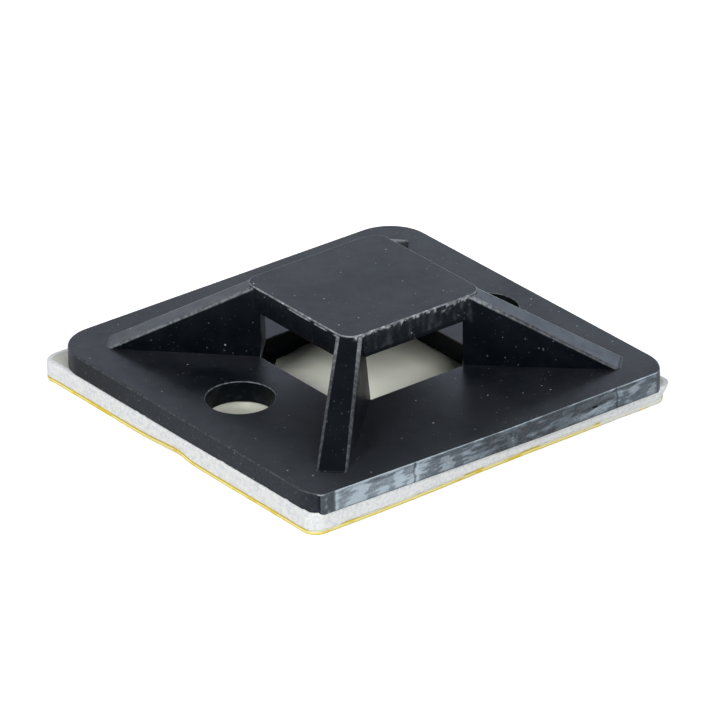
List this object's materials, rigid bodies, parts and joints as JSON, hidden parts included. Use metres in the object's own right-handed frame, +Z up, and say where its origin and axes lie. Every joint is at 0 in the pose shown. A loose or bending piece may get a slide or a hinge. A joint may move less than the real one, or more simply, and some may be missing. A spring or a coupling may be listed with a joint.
{
  "type": "cable tie mount",
  "caption": "Square self-adhesive mount for cable ties: raised bridge on corner ribs over an open well, screw holes in the base, foam pad with release liner.",
  "frame": {"origin": "under the middle of the square base plate, on the release liner's underside", "axes": "+Z up out of the surface that the pad sticks to; Y runs through both screw holes; +X points out of the trimmed gate side"},
  "size_m": [0.0288, 0.0286, 0.0075],
  "materials": {
    "black_nylon": "satin moulded nylon",
    "white_foam": "matt closed-cell foam",
    "yellow_liner": "satin coated paper"
  },
  "bodies": {
    "root": {"mount_body": "black_nylon", "foam_pad": "white_foam", "release_liner": "yellow_liner"}
  },
  "joints": []
}
